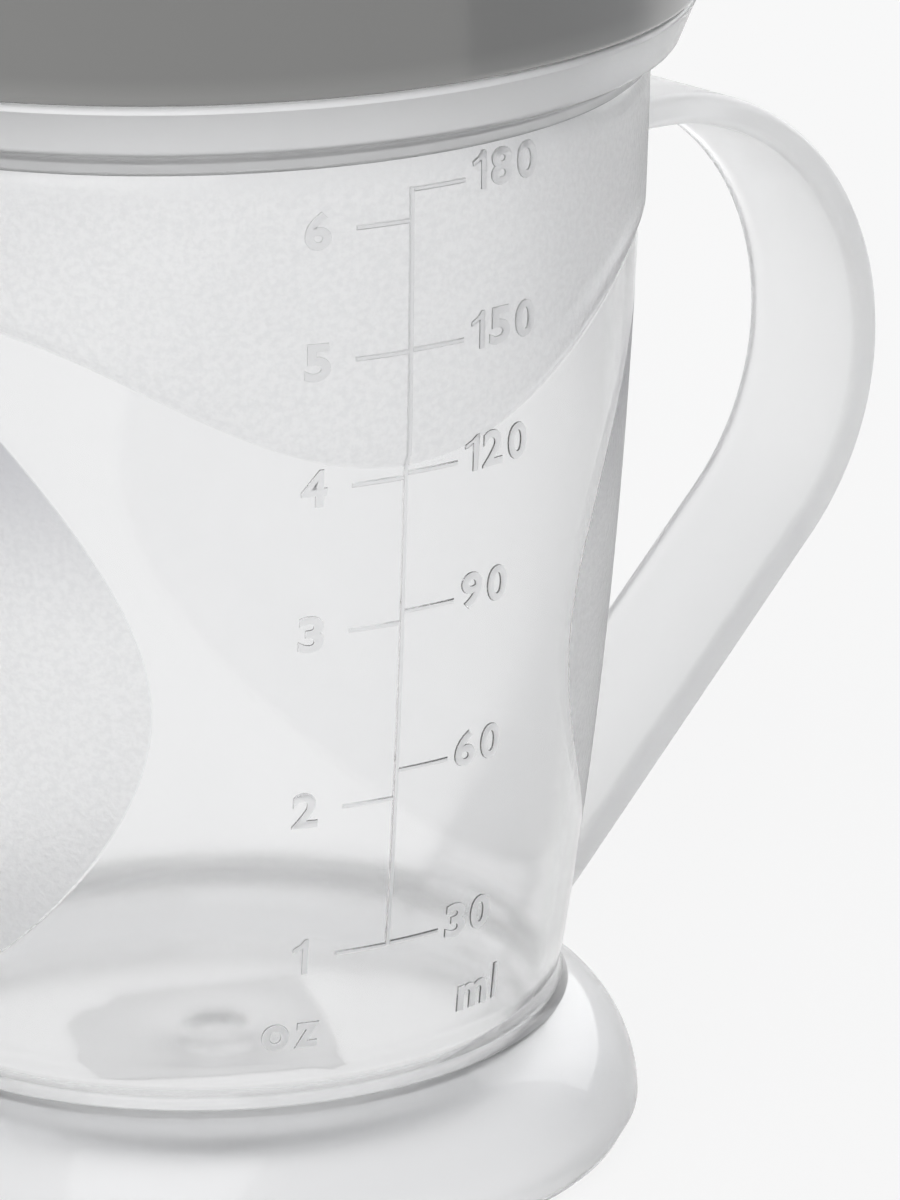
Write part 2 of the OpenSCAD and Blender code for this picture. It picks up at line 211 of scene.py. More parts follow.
# %% [markdown]
# ## Strap handles
# Each handle is a flat strap with rounded edges: two bends that meet at the widest point, a short stub into
# the wall at the top and a straight leg down to the foot. A curve with a bevel object would do, but its ends
# are hard to fit to a round wall. Here a small rounded rectangle is spun round each bend and extruded along
# the straight runs, and the last ring is slid along until it lies inside the wall. The handles are swept back
# a little, so each is turned about the cup's axis when it is done.

# %% Build one handle
STRAP_W, STRAP_T, STRAP_EDGE = 12.8, 2.4, 0.8
HANDLE_REACH, BEND_Z = 60.8, 51.2
TOP_BEND, TOP_STEPS, LOW_BEND, LOW_STEPS = 21.8, 26, 21.4, 14
LEG_LOW_Z, LEG_SHORT, LEG_PARTS = 7.8, 2, 12
STUB_STEP, STUB_PARTS = 0.4, 4
SWEEP = math.radians(10)


def strap_section(bm):
    """Rounded rectangle at the handle's widest point; returns its edges."""
    x0, x1 = HANDLE_REACH - STRAP_T, HANDLE_REACH
    corners = [bm.verts.new((x, y, BEND_Z)) for x, y in
               ((x0, -STRAP_W / 2), (x1, -STRAP_W / 2), (x1, STRAP_W / 2), (x0, STRAP_W / 2))]
    bm.faces.new(corners)
    bmesh.ops.bevel(bm, geom=corners, offset=STRAP_EDGE, offset_type="OFFSET", affect="VERTICES", segments=5,
                    profile=0.5, material=-1)
    edges = list(bm.edges)
    bmesh.ops.delete(bm, geom=list(bm.faces), context="FACES_ONLY")
    return edges


def ring_of(result):
    """The edges at the far end of a spin or extrude."""
    return [e for e in result if isinstance(e, bmesh.types.BMEdge)]


def points_of(result):
    """The points at the far end of an extrude."""
    return [v for v in result if isinstance(v, bmesh.types.BMVert)]


def run_on(bm, edges, step, count):
    """Extrudes a ring count times by step and returns its last edges."""
    for _ in range(count):
        made = bmesh.ops.extrude_edge_only(bm, edges=edges)["geom"]
        bmesh.ops.translate(bm, verts=points_of(made), vec=step)
        edges = ring_of(made)
    return edges


def sink_into_wall(edges, way):
    """Slides a ring's points along a direction until they lie half a wall deep."""
    for v in {v for e in edges for v in e.verts}:
        for _ in range(12):
            off = math.hypot(v.co.x, v.co.y) - (wall_r(v.co.z) - WALL_T / 2)
            v.co += way * off / max(0.3, -way.x)


def handle():
    """Strap handle on the +X side, swept back."""
    bm = bmesh.new()
    start = strap_section(bm)
    ring = list({v for e in start for v in e.verts})
    low_x = HANDLE_REACH - LOW_BEND
    gap = Vector((low_x - wall_r(LEG_LOW_Z), BEND_Z - LEG_LOW_Z))
    leg_turn = math.pi / 2 + math.asin(LOW_BEND / gap.length) - math.atan2(gap.y, gap.x)
    leg = math.sqrt(gap.length**2 - LOW_BEND**2)
    top = bmesh.ops.spin(bm, geom=ring + start, axis=(0, -1, 0), cent=(HANDLE_REACH - TOP_BEND, 0, BEND_Z),
                         angle=math.pi / 2, steps=TOP_STEPS)["geom_last"]
    low = bmesh.ops.spin(bm, geom=ring + start, axis=(0, 1, 0), cent=(low_x, 0, BEND_Z), angle=leg_turn,
                         steps=LOW_STEPS)["geom_last"]
    in_way = Vector((-1, 0, 0))
    leg_way = Vector((-math.sin(leg_turn), 0, -math.cos(leg_turn)))
    stub_end = run_on(bm, ring_of(top), in_way * STUB_STEP, STUB_PARTS)
    leg_end = run_on(bm, ring_of(low), leg_way * (leg - LEG_SHORT) / LEG_PARTS, LEG_PARTS)
    sink_into_wall(stub_end, in_way)
    sink_into_wall(leg_end, leg_way)
    for end in (stub_end, leg_end):
        bmesh.ops.contextual_create(bm, geom=end)
    bmesh.ops.remove_doubles(bm, verts=bm.verts, dist=1e-4)
    bmesh.ops.recalc_face_normals(bm, faces=bm.faces)
    bmesh.ops.rotate(bm, verts=bm.verts, cent=(0, 0, 0), matrix=Matrix.Rotation(SWEEP, 3, "Z"))
    return bm


right_handle = handle()
left_handle = handle()
bmesh.ops.scale(left_handle, vec=(-1, 1, 1), verts=left_handle.verts)
bmesh.ops.recalc_face_normals(left_handle, faces=left_handle.faces)
print("handle:", len(right_handle.faces), "faces")

# %% [markdown]
# ## Moulded scale
# The scale is raised in the mould: a line up the front, ticks with millilitres on one side and ounces on the
# other, and plain numerals. A bump in the finish would be less work, but it would not bend the light in clear
# plastic. So the marks are meshes: numerals start as text, bars as cubes, and both are wrapped on the wall. A
# point's x becomes an arc length round the cup, its y a height and its z a depth below or above the surface.
# The sides slant and the marks are low, which keeps their edges soft.

# %% Wrap flat marks on the wall
MARK_UP, MARK_DOWN, MARK_SLANT = 0.13, 0.13, 0.18
MILLILITRES = {"30": 22.4, "60": 35.9, "90": 48.0, "120": 58.3, "150": 67.4, "180": 78.9}
OUNCES = {"1": 22.3, "2": 33.8, "3": 47.2, "4": 58.0, "5": 67.3, "6": 76.7}
LINE_LOW_Z, LINE_TOP_Z, LINE_HALF, LINE_PARTS = 22.1, 79.2, 0.3, 120
ML_TICK, OZ_TICK, TICK_HALF, TICK_PARTS = 4.4, 4.2, 0.28, 6


def wrap(bm):
    """Bends flat marks, drawn with x to the right, y up and z outwards, round the front of the cup."""
    for v in bm.verts:
        s, z, depth = v.co
        r = wall_r(z)
        turn = s / r
        x, y = r * math.sin(turn), -r * math.cos(turn)
        out = (r + relief(x, y, z) + depth) / r
        v.co = (x * out, y * out, z)


def bar(bm, x0, y0, x1, y1, parts):
    """Flat bar with slanted sides between two corners, split into parts along its length."""
    made = bmesh.ops.create_cube(bm, size=1)["verts"]
    size = Vector((x1 - x0, y1 - y0, MARK_UP + MARK_DOWN))
    bmesh.ops.scale(bm, vec=size, verts=made)
    bmesh.ops.translate(bm, vec=((x0 + x1) / 2, (y0 + y1) / 2, (MARK_UP - MARK_DOWN) / 2), verts=made)
    middle = Vector(((x0 + x1) / 2, (y0 + y1) / 2, 0))
    for v in made:
        if v.co.z > 0:
            v.co.x -= MARK_SLANT if v.co.x > middle.x else -MARK_SLANT
            v.co.y -= MARK_SLANT if v.co.y > middle.y else -MARK_SLANT
    along = 0 if size.x > size.y else 1
    long_edges = [e for e in {e for v in made for e in v.link_edges}
                  if abs((e.verts[0].co - e.verts[1].co)[along]) > 0.5 * size[along]]
    bmesh.ops.subdivide_edges(bm, edges=long_edges, cuts=parts - 1, use_grid_fill=True)


def lines():
    """The upright line and the ticks of both scales, apart, because bars of one mesh must not overlap."""
    line, right_ticks, left_ticks = bmesh.new(), bmesh.new(), bmesh.new()
    bar(line, -LINE_HALF, LINE_LOW_Z, LINE_HALF, LINE_TOP_Z, LINE_PARTS)
    for z in MILLILITRES.values():
        bar(right_ticks, 0, z - TICK_HALF, ML_TICK, z + TICK_HALF, TICK_PARTS)
    for z in OUNCES.values():
        bar(left_ticks, -OZ_TICK, z - TICK_HALF, 0, z + TICK_HALF, TICK_PARTS)
    return [line, right_ticks, left_ticks]


tick_marks = lines()
print("line and ticks:", sum(len(marks.faces) for marks in tick_marks), "faces")

# %% Numerals and units
NUMERAL_H, DIGIT_W, ONE_W, DIGIT_GAP = 2.75, 1.9, 1.1, 0.5
# the built-in font draws a plain bar, and the cup has a 1 with a flag
ONE = [(0.78, 0), (1.12, 0), (1.12, 2.75), (0.9, 2.75), (0.62, 2.36), (0.14, 2.05), (0.14, 1.76), (0.5, 1.92),
       (0.78, 2.12)]
ML_LEFT, ML_DROP = 4.9, 0.9
OZ_LEFT, OZ_ONE_LEFT, OZ_DROP = -7.75, -7.2, 1.35
GLYPH_T, GLYPH_EDGE, GLYPH_BOLD = 0.005, 0.03, 0.008  # in the font's own size of 1
UNITS = {"m": (6.6, 15.2, 3.1, 2.1), "l": (10.3, 15.2, 0.38, 2.9),
         "o": (-9.1, 15.0, 2.0, 2.1), "z": (-6.7, 15.0, 1.8, 2.05)}


def glyph(letter):
    """A letter or digit as a closed mesh, from the built-in font."""
    curve = bpy.data.curves.new("glyph", "FONT")
    curve.body, curve.resolution_u = letter, 5
    curve.extrude, curve.offset = GLYPH_T, GLYPH_BOLD
    curve.bevel_depth, curve.bevel_resolution = GLYPH_EDGE, 1
    flat = bpy.data.objects.new("glyph", curve)
    bpy.context.scene.collection.objects.link(flat)
    mesh = bpy.data.meshes.new_from_object(flat.evaluated_get(bpy.context.evaluated_depsgraph_get()))
    bm = bmesh.new()
    bm.from_mesh(mesh)
    bpy.data.objects.remove(flat)
    bpy.data.curves.remove(curve)
    bpy.data.meshes.remove(mesh)
    bmesh.ops.remove_doubles(bm, verts=bm.verts, dist=1e-5)
    bmesh.ops.recalc_face_normals(bm, faces=bm.faces)
    return bm


def slab(outline, z, thick):
    """Closed mesh of a flat outline at height z, extruded upwards."""
    bm = bmesh.new()
    face = bm.faces.new([bm.verts.new((x, y, z)) for x, y in outline])
    made = bmesh.ops.extrude_face_region(bm, geom=[face])["geom"]
    bmesh.ops.translate(bm, vec=(0, 0, thick), verts=points_of(made))
    bmesh.ops.recalc_face_normals(bm, faces=bm.faces)
    return bm


def fitted(bm, left, base, width, height):
    """Scales a mark to a box on the flat scale, its depth from below the wall's surface to above it."""
    low = [min(v.co[i] for v in bm.verts) for i in range(3)]
    high = [max(v.co[i] for v in bm.verts) for i in range(3)]
    want = (width, height, MARK_UP + MARK_DOWN)
    bmesh.ops.translate(bm, vec=[-v for v in low], verts=bm.verts)
    bmesh.ops.scale(bm, vec=[w / (b - a) for w, a, b in zip(want, low, high)], verts=bm.verts)
    bmesh.ops.translate(bm, vec=(left, base, -MARK_DOWN), verts=bm.verts)
    return bm


def number(figures, left, base):
    """The marks of one number, set from its left edge."""
    marks = []
    for figure in figures:
        width, bm = (ONE_W, slab(ONE, 0, 1)) if figure == "1" else (DIGIT_W, glyph(figure))
        marks.append(fitted(bm, left, base, width, NUMERAL_H))
        left += width + DIGIT_GAP
    return marks


numerals = [m for n, z in MILLILITRES.items() for m in number(n, ML_LEFT, z - ML_DROP)]
for n, z in OUNCES.items():
    numerals += number(n, OZ_ONE_LEFT if n == "1" else OZ_LEFT, z - OZ_DROP)
numerals += [fitted(glyph(letter), *box) for letter, box in UNITS.items()]
print("numerals:", sum(len(n.faces) for n in numerals), "faces")
for marks in tick_marks + numerals:
    wrap(marks)

# %% [markdown]
# ## Join the moulding
# On the real cup the wall, the handles and the numerals are one piece of plastic. If they only overlapped,
# light would refract at walls that aren't there. A Boolean union removes those inner walls, and the Manifold
# solver is quick on closed meshes.

# %% Helpers for whole shapes
def rod(radius, length, edge, along, segments=64):
    """Cylinder with rounded edges, centred on the origin and turned along an axis."""
    bm = bmesh.new()
    bmesh.ops.create_cone(bm, cap_ends=True, segments=segments, radius1=radius, radius2=radius, depth=length)
    if edge:
        rims = [e for e in bm.edges if abs(e.verts[0].co.z - e.verts[1].co.z) < 1e-6]
        bmesh.ops.bevel(bm, geom=rims, offset=edge, offset_type="OFFSET", affect="EDGES", segments=3,
                        profile=0.5, material=-1)
    if along == "X":
        bmesh.ops.rotate(bm, verts=bm.verts, cent=(0, 0, 0), matrix=Matrix.Rotation(math.pi / 2, 3, "Y"))
    return bm


def shape(name, bm):
    """A finished bmesh as an object in the scene."""
    mesh = bpy.data.meshes.new(name)
    bm.to_mesh(mesh)
    bm.free()
    obj = bpy.data.objects.new(name, mesh)
    bpy.context.scene.collection.objects.link(obj)
    return obj


def combine(base, others, operation):
    """Applies a Boolean of each other shape to base and removes the others."""
    for other in others:
        step = base.modifiers.new("join", "BOOLEAN")
        step.operation, step.object, step.solver = operation, other, "MANIFOLD"
        joined = bpy.data.meshes.new_from_object(base.evaluated_get(bpy.context.evaluated_depsgraph_get()))
        base.modifiers.clear()
        if len(joined.polygons) == len(base.data.polygons):
            print("  not joined:", other.name)
        base.data = joined
        bpy.data.objects.remove(other)
    return base


SLIVER = 5e-4


def without_slivers(mesh):
    """Merges points that a Boolean left on top of each other and drops faces without area."""
    bm = bmesh.new()
    bm.from_mesh(mesh)
    bmesh.ops.remove_doubles(bm, verts=bm.verts, dist=SLIVER)
    bmesh.ops.dissolve_degenerate(bm, dist=SLIVER, edges=bm.edges)
    bm.to_mesh(mesh)
    bm.free()
    mesh.validate()


def finish_piece(obj, body, nodes, sharp):
    """Cleans a piece, scales it to metres, smooths it up to a sharp angle and lets it ride on its body."""
    without_slivers(obj.data)
    obj.data.transform(Matrix.Scale(MM, 4))
    obj.data.shade_smooth()
    obj.data.set_sharp_from_angle(angle=math.radians(sharp))
    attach(obj, body)
    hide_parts(*nodes)
    print(obj.name, "has", len(obj.data.polygons), "faces")


print("shape helpers ready")

# %% [markdown]
# ## Floor plate
# Under the floor an insert of the mould has left a thin plate with clipped corners. It shows through the
# clear floor. It isn't round, so it can't be part of the spun section: one flat face is drawn and extruded
# into the floor, and joined with the rest.

# %% Make the plate
PLATE = [(-12.8, -6.0), (2.5, -10.2), (3.6, -12.1), (5.0, -11.2), (8.5, -1.5), (10.9, 7.7), (-3.2, 10.9),
         (-4.5, 9.2), (-6.8, 9.1), (-9.0, 7.1)]
PLATE_DROP, PLATE_T = 0.15, 0.5
extras = [shape("floor_plate", slab(PLATE, FLOOR_UNDER_Z - PLATE_DROP, PLATE_T))]
print("floor plate:", len(extras[0].data.polygons), "faces")

# %% Join everything to the cup
cup_moulding = shape("cup_moulding", cup)
extras += [shape("right_handle", right_handle), shape("left_handle", left_handle)]
extras += [shape("mark", marks) for marks in tick_marks + numerals]
combine(cup_moulding, extras, "UNION")
CUP_NODES = ["bowl", "foot", "handle_right", "handle_left"]
finish_piece(cup_moulding, "cup", CUP_NODES, 40)

# %% [markdown]
# ## Fold-down spout
# The spout is a flat mouthpiece on a barrel that turns in the lid. Its mouthpiece is lofted: a row of rounded
# loops, each set to its own width and thickness, joined with bridge_loops. The barrel and its two trunnions
# are bevelled cylinders, and the passage and the drinking holes are cut through all of them.

# %% Loft the mouthpiece
PIVOT = Vector((0, -17, 101.2))
SPOUT_H, LIP_R = 27.5, 3.5
ROOT_W, ROOT_T, ROOT_LOW_Z, THINNING = 21.5, 8.4, -2, 1.4
WAIST, WAIST_AT, FLARE, FLARE_TALL = 3.5, 0.55, 0.6, 0.35  # its heights are shares of SPOUT_H
LIP_W, LIP_ANGLES = ROOT_W - WAIST + FLARE, (15, 30, 45, 58, 68, 76, 82)
BARREL_R, BARREL_L, BARREL_EDGE = 7.5, 25, 0.5
TRUNNION_R, TRUNNION_L, TRUNNION_EDGE = 2.2, 29.4, 0.3
PASSAGE_W, PASSAGE_T, PASSAGE_LOW_Z = 11, 4.6, -12
HOLE_R, HOLE_L, HOLE_DROP, HOLES_X = 1.0, 20, 4, (-4, 0, 4)
LOOP_STEPS = 48


def stadium(bm, width, thick, z):
    """Loop with round ends, at a height above the pivot; returns its edges."""
    half_step = Matrix.Rotation(math.pi / LOOP_STEPS, 4, "Z")
    made = bmesh.ops.create_circle(bm, segments=LOOP_STEPS, radius=thick / 2, matrix=half_step)
    shift = (width - thick) / 2
    for v in made["verts"]:
        v.co.x += shift if v.co.x > 0 else -shift
        v.co.z = z
    return list({e for v in made["verts"] for e in v.link_edges})


def lofted(sizes):
    """Closed mesh through a row of loops, each with its width, thickness and height."""
    bm = bmesh.new()
    loops = [stadium(bm, *size) for size in sizes]
    for low, high in zip(loops, loops[1:]):
        bmesh.ops.bridge_loops(bm, edges=low + high)
    for end in (loops[0], loops[-1]):
        bmesh.ops.contextual_create(bm, geom=end)
    bmesh.ops.recalc_face_normals(bm, faces=bm.faces)
    return bm


def mouthpiece():
    """Mouthpiece from inside the barrel to its rounded lip."""
    sizes = []
    for z in (ROOT_LOW_Z, *spread(0, SPOUT_H - LIP_R, 8)):
        t = max(0, z / SPOUT_H)
        waist = WAIST * soft_step(t / WAIST_AT) - FLARE * soft_step((t - WAIST_AT) / FLARE_TALL)
        sizes.append((ROOT_W - waist, ROOT_T - THINNING * t, z))
    for a in LIP_ANGLES:
        c, s = math.cos(math.radians(a)), math.sin(math.radians(a))
        sizes.append((LIP_W - 2 * LIP_R * (1 - c), 2 * LIP_R * c, SPOUT_H - LIP_R + LIP_R * s))
    return lofted(sizes)


def passage():
    """The way through the spout, from under the barrel to just below the lip."""
    return lofted([(PASSAGE_W, PASSAGE_T, z) for z in (PASSAGE_LOW_Z, SPOUT_H - LIP_R)])


def drinking_hole(x):
    """Cutter for a hole through the lip into the passage."""
    bm = rod(HOLE_R, HOLE_L, 0, "Z", 32)
    bmesh.ops.translate(bm, vec=(x, 0, SPOUT_H - HOLE_DROP), verts=bm.verts)
    return bm


flip_spout_piece = shape("drinking_spout", rod(BARREL_R, BARREL_L, BARREL_EDGE, "X", 96))
trunnions = shape("trunnions", rod(TRUNNION_R, TRUNNION_L, TRUNNION_EDGE, "X"))
combine(flip_spout_piece, [trunnions, shape("mouthpiece", mouthpiece())], "UNION")
cutters = [shape("passage", passage())] + [shape("hole", drinking_hole(x)) for x in HOLES_X]
combine(flip_spout_piece, cutters, "DIFFERENCE")
flip_spout_piece.data.transform(Matrix.Translation(PIVOT))
finish_piece(flip_spout_piece, "spout", ["flip_spout"], 35)

# %% [markdown]
# ## Shader maths
# A finish on this cup depends on where a point is: frosted above a wavy edge, clear below it. Such masks are
# sums and comparisons of coordinates. Wrapping a socket in a small class lets Python's own operators add the
# Math nodes, so that a mask reads like a formula.

# %% A socket that can be added, multiplied and compared
class Amount:
    """A shader socket that takes part in Python expressions."""

    def __init__(self, finish, socket):
        self.finish, self.socket = finish, socket

    def __add__(self, other):
        return self.finish.math("ADD", self, other)

    def __sub__(self, other):
        return self.finish.math("SUBTRACT", self, other)

    def __rsub__(self, other):
        return self.finish.math("SUBTRACT", other, self)

    def __mul__(self, other):
        return self.finish.math("MULTIPLY", self, other)

    def __truediv__(self, other):
        return self.finish.math("DIVIDE", self, other)

    def __gt__(self, other):
        return self.finish.math("GREATER_THAN", self, other)

    def __lt__(self, other):
        return self.finish.math("LESS_THAN", self, other)

    def __abs__(self):
        return self.finish.math("ABSOLUTE", self)

    def __neg__(self):
        return self.finish.math("MULTIPLY", self, -1.0)

    __radd__, __rmul__ = __add__, __mul__


class Finish:
    """A material or world and its nodes."""

    def __init__(self, name, owner=None):
        self.owner = owner or bpy.data.materials.new(name)
        self.owner.use_nodes = True
        self.tree = self.owner.node_tree
        self.tree.nodes.clear()

    def node(self, kind, settings=None, *values, out=0, **named):
        """Adds a node: its settings first, then values or links for its sockets, by order or by name."""
        made = self.tree.nodes.new(kind)
        for key, value in (settings or {}).items():
            setattr(made, key, value)
        pairs = list(enumerate(values)) + [(key.replace("_", " "), value) for key, value in named.items()]
        for key, value in pairs:
            if isinstance(value, Amount):
                self.tree.links.new(value.socket, made.inputs[key])
            else:
                made.inputs[key].default_value = value
        return Amount(self, made.outputs[out]) if made.outputs else None

    def math(self, operation, *values):
        """A Math node."""
        return self.node("ShaderNodeMath", {"operation": operation}, *values)

    def place(self):
        """Object coordinates as a vector and as three numbers in millimetres."""
        at = self.node("ShaderNodeTexCoord", None, out="Object")
        parts = [self.node("ShaderNodeSeparateXYZ", None, at, out=i) * (1 / MM) for i in range(3)]
        return at, parts

    def noise(self, at, scale, detail=2.0, rough=0.5):
        """Noise from 0 to 1 with features of about 1 / scale metres."""
        return self.node("ShaderNodeTexNoise", None, Vector=at, Scale=scale, Detail=detail, Roughness=rough)

    def smooth(self, value, low, high):
        """0 at low, 1 at high, with a smooth rise between."""
        return self.node("ShaderNodeMapRange", {"interpolation_type": "SMOOTHSTEP"}, value, low, high, 0.0, 1.0)

    def tint(self, mask, first, second):
        """Colour that goes from first to second with a mask; each is a colour or another tint."""
        return self.node("ShaderNodeMix", {"data_type": "RGBA"}, mask, out=2, A=rgb(first), B=rgb(second))

    def bump(self, height, distance, strength=1.0):
        """Normal of a height from 0 to 1 that stands for a distance in metres."""
        return self.node("ShaderNodeBump", None, Height=height, Distance=distance, Strength=strength)

    def end(self, shader, kind="ShaderNodeOutputMaterial"):
        """Links a shader to the output and returns the material or world."""
        self.node(kind, None, shader)
        return self.owner


def rgb(colour):
    """A grey number or three numbers as a node colour; a socket stays as it is."""
    if isinstance(colour, Amount):
        return colour
    return (*((colour,) * 3 if isinstance(colour, (int, float)) else colour), 1)


print("shader helpers ready")

# %% [markdown]
# ## Clear, frosted and milky plastic
# The cup is a clear, slightly hazy plastic. Its mould is polished for the lower wall, and textured for the
# band round the mouth and for the pads behind the handles, where the plastic looks frosted. The upper front
# of each pad is painted darker as shade. The raised marks are matt. Where the moulding is thick, at the foot
# and at the flange, the haze adds up and it looks milky, and the straps are part of the way there. Separate
# materials would need the mesh cut along every edge, so this is one material with masks. The wave is the
# same formula that raised the band. The pads stand so little proud that they are only a finish here. A clear
# shader and a milky one under a gloss coat are mixed by a mask, because a mask may change a mix but not how
# much light a shader lets through.

# %% Masks of the wall
PAD_W, PAD_H, PAD_Z, PAD_EDGE = 27.4, 30.2, 45.2, 0.1
# heights and reach of the painted shade at the upper front of the pads
PAD_SHADE_LOW_Z, PAD_SHADE_TOP_Z, PAD_SHADE_IN = 46.0, 64.0, 12.0  # and this far in front of the middle it is full
MARKS_HALF_W, MARKS_TOP_Z, MARK_SHOWS, MARK_FULL = 13, 80, 0.06, 0.12
FROST_FULL, FROST_TOP_Z = -0.3 * STEP_LOW, WALL_TOP_Z + 0.4
SKIN_IN, SKIN_OUT = -0.3, 0.9  # between these distances from its curve a point is on the wall


def wall_masks(finish, x, y, z, proud):
    """Masks of the outer wall: frosting, raised marks, and the painted shade at the upper front of the pads."""
    rise = finish.math("MINIMUM", finish.math("ARCTAN2", abs(x), abs(y)) / BAND_RISE, 1.0)
    wave = finish.math("COSINE", rise * math.pi)
    edge = BAND_MID_Z - wave * ((BAND_SIDE_Z - BAND_FRONT_Z) / 2)
    band = finish.smooth(z - edge, -STEP_LOW, FROST_FULL) * (z < FROST_TOP_Z)
    across = y * math.cos(SWEEP) - abs(x) * math.sin(SWEEP)
    above = (z - PAD_Z) * (PAD_W / PAD_H)
    from_pad = finish.math("SQRT", across * across + above * above)
    pads = 1 - finish.smooth(from_pad, PAD_W - PAD_EDGE, PAD_W + PAD_EDGE)
    raised = proud - finish.smooth(z - edge, -STEP_LOW, STEP_TALL - STEP_LOW) * BAND_T
    front = (1 - pads) * (y < 0) * (abs(x) < MARKS_HALF_W) * (z > PLAIN_Z) * (z < MARKS_TOP_Z)
    marks = finish.smooth(raised, MARK_SHOWS, MARK_FULL) * front
    wall = (proud > SKIN_IN) * (proud < SKIN_OUT)
    # painted shade: the pads get darker towards their upper front
    pad_shade = pads * wall * finish.smooth(z, PAD_SHADE_LOW_Z, PAD_SHADE_TOP_Z) * finish.smooth(-y, 0.0, PAD_SHADE_IN)
    return finish.math("MAXIMUM", band, pads) * wall, marks, pad_shade


FOOT_SKIN_IN, FOOT_SKIN_OUT = SKIRT_R - 0.8, SKIRT_R - 0.4  # radii in the skirt's thickness
FOOT_IN_R, FOOT_FADE_Z, FOOT_TOP_Z = 24, 10.5, 12.0
FLANGE_IN_R, FLANGE_FADE_Z, FLANGE_FULL_Z, FLANGE_TOP_Z = 31.8, 78.5, 81.5, RIM_Z + 0.6
STRAP_OUT, STRAP_LOW_Z = 1.4, 12.5


def thick_masks(finish, radius, z, proud):
    """Masks of the foot's outside, the flange and the straps."""
    from_bend = (radius - SKIRT_X) * (radius - SKIRT_X) + (z - SKIRT_Z) * (z - SKIRT_Z)
    skin = finish.smooth(from_bend, FOOT_SKIN_IN**2, FOOT_SKIN_OUT**2)
    foot = (1 - finish.smooth(z, FOOT_FADE_Z, FOOT_TOP_Z)) * skin * (radius > FOOT_IN_R)
    flange = finish.smooth(z, FLANGE_FADE_Z, FLANGE_FULL_Z) * (z < FLANGE_TOP_Z) * (radius > FLANGE_IN_R)
    strap = finish.smooth(proud, SKIN_OUT, STRAP_OUT) * (z > STRAP_LOW_Z) * (z < MARKS_TOP_Z)
    return foot, flange, strap


# these are the heights over which the painted shade on the pads darkens
print("frosting deepens between", PAD_SHADE_LOW_Z, "and", PAD_SHADE_TOP_Z, "mm")

# %% Cup material
# the third colour is a painted shade, a bluish grey, for the upper front of the pads
CLEAR, FROSTED, PAD_SHADE = (0.99, 0.991, 0.993), (0.86, 0.863, 0.87), (0.46, 0.462, 0.5)
MARKED, MILKY, FOOT_MILKY = (0.86, 0.863, 0.87), (0.955, 0.957, 0.96), (0.87, 0.873, 0.882)
CLEAR_IOR = 1.46
PLATE_R, PLATE_SHOWS = 16, 0.05  # the plate lies within this radius and below the floor by this


def clear_plastic():
    """Clear plastic with frosted and matt places, mixed with milky plastic where the moulding is thick."""
    finish = Finish("clear_plastic")
    at, (x, y, z) = finish.place()
    radius = finish.math("SQRT", x * x + y * y)
    proud = radius - wall_curve((z - WALL_LOW_Z) / (WALL_TOP_Z - WALL_LOW_Z))
    frost, marks, pad_shade = wall_masks(finish, x, y, z, proud)
    foot, flange, strap = thick_masks(finish, radius, z, proud)
    plate = (z < FLOOR_UNDER_Z - PLATE_SHOWS) * (radius < PLATE_R)
    milk = finish.math("MAXIMUM", foot + flange, strap * 0.3)
    haze = finish.noise(at, 60.0, 3.0)
    grain = finish.noise(at, 2100.0, 3.0, 0.55)
    flow = finish.noise(at, 140.0, 2.0)
    bump = finish.bump(grain * frost + flow * 0.15, 0.0001, 0.7)
    shade = frost * finish.smooth(grain, 0.3, 0.7) + plate * 0.6
    # colour: frosting over clear, the pads' painted shade over that, and the marks over all
    base = finish.tint(marks, finish.tint(pad_shade, finish.tint(shade, CLEAR, FROSTED), PAD_SHADE), MARKED)
    rough = 0.08 + haze * 0.05 + frost * 0.26 + strap * 0.26 + plate * 0.2 + marks * 0.2
    clear = finish.node("ShaderNodeBsdfPrincipled", None, Base_Color=base, Normal=bump, Roughness=rough,
                        Transmission_Weight=0.96, IOR=CLEAR_IOR)
    milky = finish.node("ShaderNodeBsdfPrincipled", None, Base_Color=finish.tint(foot, MILKY, FOOT_MILKY),
                        Normal=bump, Roughness=0.45 + haze * 0.1, Transmission_Weight=0.9, IOR=CLEAR_IOR,
                        Coat_Weight=0.6, Coat_Roughness=0.06)
    return finish.end(finish.node("ShaderNodeMixShader", None, milk, clear, milky))


def dress(obj, material):
    """Gives a piece its one material."""
    obj.data.materials.clear()
    obj.data.materials.append(material)


dress(cup_moulding, clear_plastic())
print("cup material set")

# %% [markdown]
# ## Lid, spout and seals
# Lid and spout are moulded in the same grey, the lid polished and the spout satin. A moulded surface is never
# quite even: the colour drifts a little, the gloss varies, and a faint waviness bends the reflections. At the
# lid's lower edge a highlight is painted into the colour, so it is paler there. The lid keeps its CAD mesh,
# whose edges are sharp. A Bevel modifier would change its size, so a Bevel node rounds the edges for the
# light only. The two seals are soft white silicone.

# %% Grey plastics and silicone
LID_GREY, LID_LOW_Z = (0.172, 0.171, 0.164), 86.8
# painted highlight at the lid's lower edge: its height and the radii where it fades in; below, how much paler
# it makes the grey
HIGHLIGHT_TALL, HIGHLIGHT_IN_R, HIGHLIGHT_OUT_R = 2.2, 33, 34
DARKER, PAINTED_HIGHLIGHT, ROUNDING = 0.98, 1.4, 0.0004


